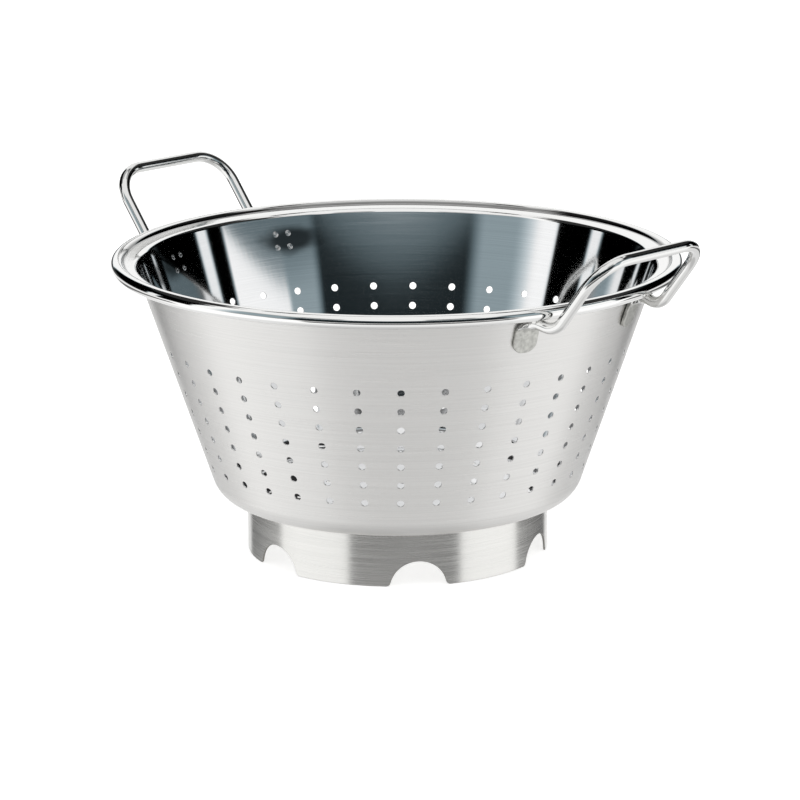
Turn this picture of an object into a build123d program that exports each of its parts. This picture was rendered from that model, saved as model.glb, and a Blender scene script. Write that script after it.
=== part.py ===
from build123d import *
import math
import os

# A footed colander pressed and welded from stainless steel, in millimetres.
# The origin is the centre of the foot's lower edge, +Z is up, and the handles point along X.

# Bowl
rim_diameter = 360.0          # over the rolled rim
rim_height = 190.6            # table to the top of the rolled rim
bowl_sheet = 0.8              # steel thickness
wall_slope_angle = 18.8       # wall from the vertical
floor_corner_radius = 18.0    # outside, between floor and wall

# Rolled rim
bead_diameter = 8.4           # outside, of the rolled edge
bead_lead_angle = 65.0        # heading of the sheet as it enters the roll
bead_wrap_angle = 290.0       # how far the edge is rolled round
crease_radius = 1.6           # where the flange turns up into the roll
flange_length = 4.9           # flat between shoulder and crease
flange_rise_angle = 12.0      # the flange climbs outwards
shoulder_radius = 3.4         # between wall and flange

# Drain holes in the wall, in straight columns
hole_diameter = 4.5
hole_columns = 35
hole_row_pitch = 13.3         # along the wall
top_row_drop = 54.2           # rim top to the highest row
row_margin = 10.0             # least height of the lowest row above the floor corner's end
hole_column_angle = 6.4       # first column, from the right handle

# Drain holes in the floor, in rings
floor_ring_pitch = 16.0
floor_holes_per_step = 6      # each ring has this many more than the one inside it

# Foot ring
foot_height = 35.0            # table to the bowl's floor
foot_sheet = 1.2
foot_inset = 4.94             # foot's outside, inwards of the floor's flat
foot_flange_width = 10.0      # turned in under the floor
foot_bend_radius = 2.4        # outside, between foot and flange
notch_count = 6
notch_radius = 18.0
notch_height = 16.0
notch_corner_radius = 3.0
notch_angle = 21.9            # first notch, from the right handle

# Handles, bent from round wire with flattened ends
wire_diameter = 7.2
leg_spacing = 95.0            # between the centres of the two legs
tab_spacing = 93.0            # between the lower ends of the two tabs
handle_reach = 32.4           # grip's centre, outwards of the rim
handle_rise = 30.8            # grip's centre, above the rim
grip_corner_radius = 22.0
dip_drop = 14.5               # lowest bend's corner, under the rim top
dip_inset = 3.2               # lowest bend's corner, inwards of the rim
dip_radius = 12.0
elbow_drop = 10.4             # bend at the wall, corner under the rim top
elbow_radius = 6.5
tab_width = 16.0              # flattened end, welded to the wall
tab_thickness = 2.2
tab_corner_radius = 6.5
tab_end_drop = 31.0           # rim top to the lower end of the tab
press_turn_share = 0.5        # of the elbow's turn, over which the wire is pressed flat
press_shares = (0.0, 0.5, 1.0)
middle_share = 0.5

# Welds
seat_gap = 0.05               # between welded faces
weld_diameter = 2.4
weld_clearance = 0.05         # round each weld, in the sheet that it joins
weld_depth = 1.1              # into the second sheet
weld_crown = 0.35             # stands proud of the first sheet
tab_weld_pitch = 9.0          # four welds in a square on each tab
tab_weld_margin = 5.8         # lower welds, up from the tab's end
foot_weld_count = 12
foot_weld_depth = 0.7
foot_weld_angle = 15.0        # first foot weld, from the right handle

overrun = 6.0                 # how far the cutting tools reach past the sheet
least_straight_share = 0.01   # of half a sheet: a shorter straight between two bends is left out

# Worked out from the sizes above
half_sheet = bowl_sheet / 2
rim_radius = rim_diameter / 2
bead_radius = bead_diameter / 2
wire_radius = wire_diameter / 2
slope = math.radians(wall_slope_angle)
along_wall = Vector(math.sin(slope), math.cos(slope))
out_of_wall = Vector(math.cos(slope), -math.sin(slope))


def direction(heading):
    angle = math.radians(heading)
    return Vector(math.cos(angle), math.sin(angle))


def left_of(heading):
    angle = math.radians(heading)
    return Vector(-math.sin(angle), math.cos(angle))


# The sheet's middle line, from the floor's centre out to the rolled edge.
# A bend is its centre, its radius and the headings at its two ends.
wall_heading = 90.0 - wall_slope_angle
bead_centre = Vector(rim_radius - bead_radius, rim_height - bead_radius)
bead_end_heading = bead_lead_angle - bead_wrap_angle
bead_bend = (bead_centre, bead_radius - half_sheet, bead_lead_angle, bead_end_heading)
crease_centre = bead_centre + left_of(bead_lead_angle) * (bead_radius - half_sheet + crease_radius)
crease_bend = (crease_centre, crease_radius, flange_rise_angle, bead_lead_angle)
flange_outer = crease_centre - left_of(flange_rise_angle) * crease_radius
flange_inner = flange_outer - direction(flange_rise_angle) * flange_length
shoulder_centre = flange_inner - left_of(flange_rise_angle) * shoulder_radius
shoulder_bend = (shoulder_centre, shoulder_radius, wall_heading, flange_rise_angle)
wall_top = shoulder_centre + left_of(wall_heading) * shoulder_radius
corner_radius = floor_corner_radius - half_sheet
corner_height = foot_height + floor_corner_radius
wall_bottom_height = corner_height - corner_radius * math.sin(slope)
wall_bottom = wall_top - along_wall * ((wall_top.Y - wall_bottom_height) / along_wall.Y)
corner_centre = wall_bottom + left_of(wall_heading) * corner_radius
corner_bend = (corner_centre, corner_radius, 0.0, wall_heading)
floor_radius = corner_centre.X
foot_radius = floor_radius - foot_inset


# A point of the wall's outer face at a height, as radius and height
def wall_point(height):
    outer_top = wall_top + out_of_wall * half_sheet
    return outer_top - along_wall * ((outer_top.Y - height) / along_wall.Y)


# A frame on the wall's outer face: its x runs round the bowl, its y up the wall, its z outwards
def wall_plane(height, azimuth):
    point = wall_point(height)
    plane = Plane(
        origin=(point.X, 0, point.Y),
        x_dir=(0, 1, 0),
        z_dir=(out_of_wall.X, 0, out_of_wall.Y),
    )
    return Plane(Location((0, 0, 0), (0, 0, azimuth)) * plane.location)


def bend_point(bend, heading, side):
    centre, radius, start, end = bend
    if end > start:
        return centre - left_of(heading) * (radius - side)
    return centre + left_of(heading) * (radius + side)


# One face of the sheet: an arc for each bend, and the straights between them
def sheet_face(start, bends, side):
    edges = []
    here = start
    for bend in bends:
        first, last = bend[2], bend[3]
        points = [bend_point(bend, h, side) for h in (first, (first + last) / 2, last)]
        if (points[0] - here).length > half_sheet * least_straight_share:
            edges.append(Line(here, points[0]))
        edges.append(ThreePointArc(*points))
        here = points[2]
    return edges, here


def revolved(edges):
    section = Plane.XZ * make_face(edges)
    return revolve(section, Axis.Z, 360)


def round_array(solid, count, first_angle):
    step = 360 / count
    return [Rot(0, 0, first_angle + step * k) * solid for k in range(count)]


def bowl_shell():
    bends = [corner_bend, shoulder_bend, crease_bend, bead_bend]
    inside, inside_end = sheet_face(Vector(0, foot_height + bowl_sheet), bends, half_sheet)
    outside, outside_end = sheet_face(Vector(0, foot_height), bends, -half_sheet)
    axis_edge = Line((0, foot_height), (0, foot_height + bowl_sheet))
    lip = Line(inside_end, outside_end)
    return revolved(inside + outside + [axis_edge, lip])


# The rows run down from the top one as far as the wall stays straight
def wall_hole_heights():
    top = rim_height - top_row_drop
    step = hole_row_pitch * along_wall.Y
    rows = int((top - wall_bottom_height - row_margin) / step) + 1
    return [top - row * step for row in range(rows)]


def wall_hole_tools():
    column = []
    for height in wall_hole_heights():
        plane = wall_plane(height, 0).offset(-overrun / 2)
        column.append(extrude(plane * Circle(hole_diameter / 2), overrun))
    return [t for tool in column for t in round_array(tool, hole_columns, hole_column_angle)]


def floor_hole_tools():
    tool = Pos(0, 0, foot_height - overrun / 2) * Cylinder(
        hole_diameter / 2, overrun, align=(Align.CENTER, Align.CENTER, Align.MIN)
    )
    clear_radius = foot_radius - foot_flange_width - hole_diameter
    tools = [tool]
    for ring in range(1, int(clear_radius / floor_ring_pitch) + 1):
        placed = Pos(ring * floor_ring_pitch, 0, 0) * tool
        tools += round_array(placed, ring * floor_holes_per_step, 0)
    return tools


# The tabs lie on the wall, each turned from its handle's middle by the same angle
tab_height = rim_height - tab_end_drop
half_leg = leg_spacing / 2
seat_radius = wall_point(tab_height).X
tab_azimuth = math.degrees(math.asin(tab_spacing / 2 / seat_radius))


def tab_weld_places(azimuth):
    plane = wall_plane(tab_height, azimuth)
    half = tab_weld_pitch / 2
    low = tab_weld_margin
    return [plane * Pos(x, low + y, 0) for x in (-half, half) for y in (0, tab_weld_pitch)]


# A spot weld between two sheets, its axis along z, its crown on the first sheet's far face
def weld_nugget(sheet, depth):
    radius = weld_diameter / 2
    crown_radius = (radius**2 + weld_crown**2) / (2 * weld_crown)
    length = sheet + seat_gap + depth
    plug = Cylinder(radius, length, align=(Align.CENTER, Align.CENTER, Align.MIN))
    ball = Pos(0, 0, crown_radius - weld_crown) * Sphere(crown_radius)
    cap_space = Cylinder(radius, weld_crown, align=(Align.CENTER, Align.CENTER, Align.MAX))
    return Pos(0, 0, -sheet) * (plug + (ball & cap_space))


def weld_hole():
    return Cylinder(weld_diameter / 2 + weld_clearance, overrun)


def weld_pocket(depth):
    length = overrun + seat_gap + depth + weld_clearance
    radius = weld_diameter / 2 + weld_clearance
    return Pos(0, 0, -overrun) * Cylinder(radius, length, align=(Align.CENTER, Align.CENTER, Align.MIN))


# A bend of the wire between two straights: its centre, and where it starts and ends
def wire_bend(before, corner, after, radius):
    to_before = (before - corner).normalized()
    to_after = (after - corner).normalized()
    half = math.radians(to_before.get_angle(to_after)) / 2
    centre = corner + (to_before + to_after).normalized() * (radius / math.sin(half))
    start = corner + to_before * (radius / math.tan(half))
    end = corner + to_after * (radius / math.tan(half))
    return centre, start, end


# The point on a bend at a share of its turn
def on_bend(bend, share):
    centre, start, end = bend
    first, last = start - centre, end - centre
    turn = math.radians(first.get_angle(last))
    arm = first * math.sin((1 - share) * turn) + last * math.sin(share * turn)
    return centre + arm / math.sin(turn)


def bend_heading(bend, share):
    centre, start, end = bend
    axis = (start - centre).cross(end - centre)
    return axis.cross(on_bend(bend, share) - centre).normalized()


# The corners of one half of the wire's middle line, in the frame of the right handle
def wire_corners():
    plane = wall_plane(tab_height, tab_azimuth)
    up = plane.y_dir
    foot = plane.origin + plane.z_dir * (seat_gap + wire_radius)
    elbow = foot + up * ((rim_height - elbow_drop - foot.Z) / up.Z)
    dip = Vector(rim_radius - dip_inset, half_leg, rim_height - dip_drop)
    grip = Vector(rim_radius + handle_reach, half_leg, rim_height + handle_rise)
    return [foot, elbow, dip, grip]


def mirror_point(point):
    return Vector(point.X, -point.Y, point.Z)


def wire_bends():
    foot, elbow, dip, grip = wire_corners()
    return [
        wire_bend(foot, elbow, dip, elbow_radius),
        wire_bend(elbow, dip, grip, dip_radius),
        wire_bend(dip, grip, mirror_point(grip), grip_corner_radius),
    ]


def wire_body():
    elbow, dip, grip = wire_bends()
    round_from = on_bend(elbow, press_turn_share)
    half = [
        ThreePointArc(round_from, on_bend(elbow, (1 + press_turn_share) / 2), elbow[2]),
        Line(elbow[2], dip[1]),
        ThreePointArc(dip[1], on_bend(dip, middle_share), dip[2]),
        Line(dip[2], grip[1]),
        ThreePointArc(grip[1], on_bend(grip, middle_share), grip[2]),
    ]
    bar = Line(grip[2], mirror_point(grip[2]))
    path = Wire(half + [bar] + [edge.mirror(Plane.XZ) for edge in half])
    start = Plane(round_from, z_dir=bend_heading(elbow, press_turn_share))
    return sweep(start * Circle(wire_radius), path)


def between(first, last, share):
    return first + (last - first) * share


# A cross-section of the pressed wire: four edges between four corners
def pressed_section(plane, width, thickness, corner):
    x, y = corner
    corners = [(x, y), (-x, y), (-x, -y), (x, -y)]
    crests = [(0, thickness / 2), (-width / 2, 0), (0, -thickness / 2), (width / 2, 0)]
    edges = []
    for k, crest in enumerate(crests):
        first, last = corners[k], corners[(k + 1) % 4]
        straight = abs(crest[k % 2 - 1]) <= abs(first[k % 2 - 1])
        edges.append(Line(first, last) if straight else ThreePointArc(first, crest, last))
    return plane * make_face(edges)


# The flattened end: a flat tab, and the stretch where the wire is pressed from round to flat
def tab_body():
    elbow = wire_bends()[0]
    plane = wall_plane(tab_height, tab_azimuth)
    reach = (elbow[1] - plane.origin).dot(plane.y_dir)
    outline = Pos(0, reach / 2) * Rectangle(tab_width, reach)
    outline = fillet(outline.vertices().sort_by(Axis.Y)[:2], tab_corner_radius)
    tab = extrude(plane.offset(seat_gap) * outline, tab_thickness)
    round_corner = wire_radius / math.sqrt(2)
    sections = []
    for share in press_shares:
        width = between(tab_width, wire_diameter, share)
        thickness = between(tab_thickness, wire_diameter, share)
        corner_x = between(tab_width / 2, round_corner, share)
        corner_y = between(tab_thickness / 2, round_corner, share)
        heading = bend_heading(elbow, share * press_turn_share)
        outward = plane.x_dir.cross(heading)
        centre = on_bend(elbow, share * press_turn_share) + outward * ((thickness - wire_diameter) / 2)
        section_plane = Plane(centre, x_dir=plane.x_dir, z_dir=heading)
        sections.append(pressed_section(section_plane, width, thickness, (corner_x, corner_y)))
    return tab + loft(sections)


def handle_solid():
    tab = tab_body()
    solid = wire_body() + tab + tab.mirror(Plane.XZ)
    pockets = [
        place * weld_pocket(weld_depth)
        for azimuth in (tab_azimuth, -tab_azimuth)
        for place in tab_weld_places(azimuth)
    ]
    return solid - pockets


# A drain notch: a round arch, sunk below the table, with a rounded corner at each side
def notch_tool():
    sink = notch_radius - notch_height
    reach = notch_radius + notch_corner_radius
    centre_x = math.sqrt(reach**2 - (notch_corner_radius + sink) ** 2)
    touch_x = centre_x * notch_radius / reach
    touch_z = (notch_corner_radius + sink) * notch_radius / reach - sink
    corner_centre = Vector(centre_x, notch_corner_radius)
    toward_touch = (Vector(touch_x, touch_z) - corner_centre).normalized()
    middle = corner_centre + (toward_touch + Vector(0, -1)).normalized() * notch_corner_radius
    side = [(centre_x, 0), (middle.X, middle.Y), (touch_x, touch_z)]
    mirror_side = [(-x, z) for x, z in side]
    edges = [
        ThreePointArc(*side),
        ThreePointArc(side[2], (0, notch_height), mirror_side[2]),
        ThreePointArc(*mirror_side),
        Line(mirror_side[0], (-centre_x, -overrun)),
        Line((-centre_x, -overrun), (centre_x, -overrun)),
        Line((centre_x, -overrun), side[0]),
    ]
    outline = make_face(edges)
    plane = Plane(origin=(foot_radius - overrun, 0, 0), x_dir=(0, 1, 0), z_dir=(1, 0, 0))
    return extrude(plane * outline, 2 * overrun)


def foot_weld_radius():
    return foot_radius - foot_bend_radius - (foot_flange_width - foot_bend_radius) / 2


def foot_weld_places():
    turn = 360 / foot_weld_count
    return [
        Location((0, 0, 0), (0, 0, foot_weld_angle + turn * k))
        * Pos(foot_weld_radius(), 0, foot_height)
        * Rot(180, 0, 0)
        for k in range(foot_weld_count)
    ]


def foot_ring_solid():
    top = foot_height - seat_gap
    half = foot_sheet / 2
    bend_centre = Vector(foot_radius - foot_bend_radius, top - foot_bend_radius)
    bend = (bend_centre, foot_bend_radius - half, 90.0, 180.0)
    inside, inside_end = sheet_face(Vector(foot_radius - foot_sheet, 0), [bend], half)
    outside, outside_end = sheet_face(Vector(foot_radius, 0), [bend], -half)
    flange_end = foot_radius - foot_flange_width
    inner_end = Vector(flange_end, inside_end.Y)
    outer_end = Vector(flange_end, outside_end.Y)
    edges = inside + outside + [
        Line(inside_end, inner_end),
        Line(outside_end, outer_end),
        Line(inner_end, outer_end),
        Line((foot_radius - foot_sheet, 0), (foot_radius, 0)),
    ]
    ring = revolved(edges)
    pockets = [place * weld_pocket(foot_weld_depth) for place in foot_weld_places()]
    return ring - round_array(notch_tool(), notch_count, notch_angle) - pockets


def bowl_solid():
    weld_places = foot_weld_places()
    for handle_azimuth in (0, 180):
        for azimuth in (tab_azimuth, -tab_azimuth):
            weld_places += tab_weld_places(handle_azimuth + azimuth)
    weld_holes = [place * weld_hole() for place in weld_places]
    return bowl_shell() - weld_holes - floor_hole_tools() - wall_hole_tools()


def weld_group(places, sheet, depth):
    return Compound(children=[place * weld_nugget(sheet, depth) for place in places])


os.makedirs("parts", exist_ok=True)
handle = handle_solid()
pieces = {
    "bowl": bowl_solid(),
    "foot_ring": foot_ring_solid(),
    "handle_right": handle,
    "handle_left": Rot(0, 0, 180) * handle,
    "foot_welds": weld_group(foot_weld_places(), bowl_sheet, foot_weld_depth),
}
for side_name, handle_azimuth in (("right", 0), ("left", 180)):
    for end_name, azimuth in (("rear", tab_azimuth), ("front", -tab_azimuth)):
        places = tab_weld_places(handle_azimuth + azimuth)
        name = f"tab_welds_{side_name}_{end_name}"
        pieces[name] = weld_group(places, bowl_sheet, weld_depth)
for name, shape in pieces.items():
    export_step(shape, f"parts/{name}.step")
    print(name, round(shape.volume), shape.bounding_box().size)
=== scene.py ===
import bpy
import math

import numpy as np
from mathutils import Matrix, Vector


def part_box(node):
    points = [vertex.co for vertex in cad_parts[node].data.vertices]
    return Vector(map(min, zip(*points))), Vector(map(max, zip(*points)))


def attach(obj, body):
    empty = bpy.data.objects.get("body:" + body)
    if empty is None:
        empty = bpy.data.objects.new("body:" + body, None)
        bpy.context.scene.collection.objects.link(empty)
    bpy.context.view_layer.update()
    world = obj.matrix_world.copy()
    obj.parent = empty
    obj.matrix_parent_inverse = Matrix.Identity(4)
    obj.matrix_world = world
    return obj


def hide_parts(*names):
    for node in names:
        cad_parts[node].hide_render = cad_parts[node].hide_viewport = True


# A footed steel colander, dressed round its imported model. Everything is in metres.
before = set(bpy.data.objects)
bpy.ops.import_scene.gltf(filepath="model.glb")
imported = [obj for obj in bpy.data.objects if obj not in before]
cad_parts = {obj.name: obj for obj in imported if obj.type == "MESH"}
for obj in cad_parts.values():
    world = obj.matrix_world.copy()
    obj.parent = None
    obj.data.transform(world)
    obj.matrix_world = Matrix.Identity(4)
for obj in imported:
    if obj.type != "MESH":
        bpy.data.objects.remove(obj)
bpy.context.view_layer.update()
bowlLow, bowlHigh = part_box("bowl")
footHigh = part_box("foot_ring")[1]
mm = 0.001
print("frame loaded:", len(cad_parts), "nodes")


# Meshes are joined from patches: points, a normal for each, and faces. Points that meet are welded,
# each face keeps its own patch's normals, and a face that looks the wrong way is turned round.
def patch(points, normals, faces, slot=0):
    points = np.asarray(points, float).reshape(-1, 3)
    normals = np.broadcast_to(np.asarray(normals, float).reshape(-1, 3), points.shape)
    return {"points": points, "normals": normals, "faces": np.asarray(faces), "slot": slot}


# Quads of a grid whose points run row by row; a closed grid's last column meets its first
def gridFaces(rows, columns, closed=True):
    r = np.arange(rows - 1)[:, None]
    c = np.arange(columns if closed else columns - 1)[None, :]
    n = (c + 1) % columns
    corners = [r * columns + c, r * columns + n, (r + 1) * columns + n, (r + 1) * columns + c]
    return np.stack([np.broadcast_to(k, (rows - 1, c.size)) for k in corners], -1).reshape(-1, 4)


def turnOutwards(points, normals, faces):
    a, b, c = (points[faces[:, k]] for k in (0, 1, 2))
    looks = np.cross(b - a, c - a) + np.cross(c - a, points[faces[:, -1]] - a)
    wrong = (looks * normals[faces].sum(1)).sum(1) < 0
    faces = faces.copy()
    faces[wrong] = faces[wrong][:, ::-1]
    return faces


def makePiece(name, patches, materials, replaced=()):
    points = np.concatenate([p["points"] for p in patches])
    micron = np.round(points * 1e6 + 0.1234).astype(np.int64)
    _, first, index = np.unique(micron, axis=0, return_index=True, return_inverse=True)
    index = index.reshape(-1)
    loops, sizes, slots, normals, start = [], [], [], [], 0
    for p in patches:
        faces = turnOutwards(p["points"], p["normals"], p["faces"])
        loops.append(index[faces.ravel() + start])
        normals.append(p["normals"][faces.ravel()])
        sizes.append(np.full(len(faces), faces.shape[1]))
        slots.append(np.full(len(faces), p["slot"]))
        start += len(p["points"])
    loops, sizes, slots, normals = (np.concatenate(x) for x in (loops, sizes, slots, normals))
    mesh = bpy.data.meshes.new(name)
    mesh.vertices.add(len(first))
    mesh.vertices.foreach_set("co", points[first].astype(np.float32).ravel())
    mesh.loops.add(len(loops))
    mesh.loops.foreach_set("vertex_index", loops.astype(np.int32))
    mesh.polygons.add(len(sizes))
    mesh.polygons.foreach_set("loop_start", (np.cumsum(sizes) - sizes).astype(np.int32))
    mesh.polygons.foreach_set("loop_total", sizes.astype(np.int32))
    mesh.polygons.foreach_set("material_index", slots.astype(np.int32))
    mesh.update(calc_edges=True)
    mesh.normals_split_custom_set(normals.tolist())
    for material in materials:
        mesh.materials.append(material)
    piece = bpy.data.objects.new(name, mesh)
    bpy.context.scene.collection.objects.link(piece)
    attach(piece, "root")
    if replaced:
        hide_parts(*replaced)
    print(name, "made:", len(mesh.vertices), "points,", int((sizes - 2).sum()), "triangles")
    return piece


# A profile (radius, height and its normal) swung round the Z axis
def revolve(r, z, nr, nz, angles, slot=0):
    cos, sin = np.cos(angles)[None, :], np.sin(angles)[None, :]
    points = np.stack([r[:, None] * cos, r[:, None] * sin, z[:, None] + 0 * cos], -1)
    normals = np.stack([nr[:, None] * cos, nr[:, None] * sin, nz[:, None] + 0 * cos], -1)
    return patch(points, normals, gridFaces(len(r), len(angles)), slot)


# Triangles between two circles in one plane whose points differ in number, walked round together
def stitch(radiusA, anglesA, radiusB, anglesB, z, nz, slot=0):
    a, b = (np.sort(np.mod(x, 2 * math.pi)) for x in (anglesA, anglesB))
    mids = np.concatenate([a + math.pi / len(a), b + math.pi / len(b)])
    order = np.argsort(mids, kind="stable")
    isA = order < len(a)
    atA = (np.cumsum(isA) - isA) % len(a)
    atB = (np.cumsum(~isA) - ~isA) % len(b)
    stepA = np.stack([atA, (atA + 1) % len(a), len(a) + atB], -1)
    stepB = np.stack([len(a) + atB, len(a) + (atB + 1) % len(b), atA], -1)
    faces = np.where(isA[:, None], stepA, stepB)
    radius = np.concatenate([np.full(len(a), radiusA), np.full(len(b), radiusB)])
    angle = np.concatenate([a, b])
    points = np.stack([radius * np.cos(angle), radius * np.sin(angle), np.full(len(angle), z)], -1)
    return patch(points, (0, 0, nz), faces, slot)


bowl = {
    "sheet": 0.8 * mm,
    "slope": math.radians(18.8),  # wall from the vertical
    "cornerRadius": 18.0 * mm,
    "shoulderRadius": 3.4 * mm,
    "flangeLength": 4.9 * mm,
    "flangeRise": 12.0,
    "creaseRadius": 1.6 * mm,
    "beadDiameter": 8.4 * mm,
    "beadLead": 65.0,
    "beadWrap": 290.0,
    "holeDiameter": 4.5 * mm,
    "holeEdge": 0.22 * mm,  # rolled edge of a punched hole
    "columns": 35,
    "columnAngle": math.radians(6.4),
    "rows": 7,
    "rowPitch": 13.3 * mm,
    "topRowDrop": 54.2 * mm,
    "floorRings": 5,
    "floorPitch": 16.0 * mm,
    "floorBand": 7.0 * mm,  # half the width of a ring of floor cells
    "flatShare": 1.4,  # where the plain floor begins, in half bands past the last ring
    "alongCount": 8,  # mesh steps along a cell's long side, and up its short side
    "upCount": 4,
    "cellShare": 0.55,  # how far from border to hole a cell's middle ring of points lies
    "cornerSteps": 9,
    "shoulderSteps": 7,
    "creaseSteps": 5,
    "beadSteps": 26,
    "lipSteps": 5,
    "underSteps": 2,  # of the plain wall under and over the cells
    "overSteps": 3,
}
outsideSlot, insideSlot, rimSlot = 0, 1, 2


# The sheet's middle line, walked from a point through straights and arcs
def walk(start, heading, steps):
    point, line = np.array(start, float), [(*start, heading)]
    for length, radius, turn, count in steps:
        k = np.arange(1, count + 1) / count
        if radius:
            side = math.copysign(1.0, turn)
            h = heading + math.radians(turn) * k
            left = np.array([-math.sin(heading), math.cos(heading)])
            centre = point + left * radius * side
            r = centre[0] + np.sin(h) * radius * side
            z = centre[1] - np.cos(h) * radius * side
        else:
            h = np.full(count, heading)
            r = point[0] + math.cos(heading) * length * k
            z = point[1] + math.sin(heading) * length * k
        line += list(zip(r, z, h))
        point, heading = np.array([r[-1], z[-1]]), h[-1]
    return np.array(line)


# From the wall's top: the shoulder, the flange, the crease and the bead. Detail multiplies the arcs' steps.
def rimSteps(detail):
    rise, bead = bowl["flangeRise"], (bowl["beadDiameter"] - bowl["sheet"]) / 2
    shoulder = rise + math.degrees(bowl["slope"]) - 90.0
    return [
        (0, bowl["shoulderRadius"], shoulder, bowl["shoulderSteps"] * detail),
        (bowl["flangeLength"], 0, 0, 1),
        (0, bowl["creaseRadius"], bowl["beadLead"] - rise, bowl["creaseSteps"] * detail),
        (0, bead, -bowl["beadWrap"], bowl["beadSteps"] * detail),
    ]


# The same, walked and set in its place under the rim's top and inside its widest radius
def rimLine(detail):
    line = walk((0, 0), math.radians(90.0) - bowl["slope"], rimSteps(detail))
    half = bowl["sheet"] / 2
    line[:, 0] += bowlHigh.x - line[:, 0].max() - half
    line[:, 1] += bowlHigh.z - line[:, 1].max() - half
    return line


# One face of the sheet beside its middle line: side is +1 for the inside and -1 for the outside
def sheetSide(line, side):
    nr, nz = -np.sin(line[:, 2]) * side, np.cos(line[:, 2]) * side
    half = bowl["sheet"] / 2
    return line[:, 0] + nr * half, line[:, 1] + nz * half, nr, nz


# The order of a cell's border points and of its hole's points: counted round from the low left corner
def cellBorder():
    n, m = bowl["alongCount"], bowl["upCount"]
    along, up = np.linspace(-1, 1, n + 1)[:-1], np.linspace(-1, 1, m + 1)[:-1]
    x = np.concatenate([along, np.ones(m), -along, -np.ones(m)])
    y = np.concatenate([-np.ones(n), up, np.ones(n), -up])
    count = 2 * (n + m)
    first = -math.pi / 2 - math.pi * n / count
    return x, y, first + 2 * math.pi * np.arange(count) / count


# Rings of one hole, from its cell's border on the outside face, over the rolled edge and down the bore to
# half the sheet: how far from border to edge, how far in from the edge, how deep, and the normal's tilt
def holeRings():
    edge, half = bowl["holeEdge"], bowl["sheet"] / 2
    tilt = np.radians([0.0, 45.0, 90.0])
    inward = edge * np.sin(tilt)
    deep = edge * (1 - np.cos(tilt))
    share = np.concatenate([[0.0, bowl["cellShare"]], np.ones(4)])
    inward = np.concatenate([[0.0, 0.0], inward, [edge]])
    deep = np.concatenate([[0.0, 0.0], deep, [half]])
    tilt = np.concatenate([[0.0, 0.0], tilt, [tilt[-1]]])
    return share, inward, deep, tilt


def cellFaces(cells, rings, count):
    one = gridFaces(rings, count)
    return (one[None] + (np.arange(cells) * rings * count)[:, None, None]).reshape(-1, 4)


# Wall cells: every hole's square of wall, in columns and rows, for one face of the sheet.
# A cell's point is (angle, distance up the wall); depth goes along the wall's normal.
def wallCells(wallTopRow, side, slot):
    x, y, theta = cellBorder()
    share, inward, deep, tilt = (v[:, None] for v in holeRings())
    hole = bowl["holeDiameter"] / 2 + bowl["holeEdge"]
    slope = bowl["slope"]
    column = bowl["columnAngle"] + 2 * math.pi / bowl["columns"] * np.arange(bowl["columns"])
    row = -bowl["rowPitch"] * np.arange(bowl["rows"])
    column, row = column[:, None, None, None], row[None, :, None, None]
    reach = hole - inward
    up = (1 - share) * y * bowl["rowPitch"] / 2 + share * np.sin(theta) * reach
    radius = wallTopRow[0] + (row + up) * math.sin(slope)
    turnBorder = x * math.pi / bowl["columns"]
    turnHole = np.cos(theta) * reach / radius
    angle = column + (1 - share) * turnBorder + share * turnHole
    height = wallTopRow[1] + (row + up) * math.cos(slope)
    height, radius, angle = np.broadcast_arrays(height, radius, angle)
    depth = deep if side < 0 else bowl["sheet"] - deep
    cos, sin = np.cos(angle), np.sin(angle)
    out = np.stack([cos * math.cos(slope), sin * math.cos(slope), np.full_like(cos, -math.sin(slope))], -1)
    across = np.stack([-sin, cos, np.zeros_like(cos)], -1)
    upward = np.stack([cos * math.sin(slope), sin * math.sin(slope), np.full_like(cos, math.cos(slope))], -1)
    points = np.stack([radius * cos, radius * sin, height], -1)
    points -= out * np.broadcast_to(depth, cos.shape)[..., None]
    bore = -(across * np.cos(theta)[:, None] + upward * np.sin(theta)[:, None])
    face = out if side < 0 else -out
    normals = face * np.cos(tilt)[..., None] + bore * np.sin(tilt)[..., None]
    cells = bowl["columns"] * bowl["rows"]
    return patch(points, normals, cellFaces(cells, len(share), len(theta)), slot)


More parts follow.
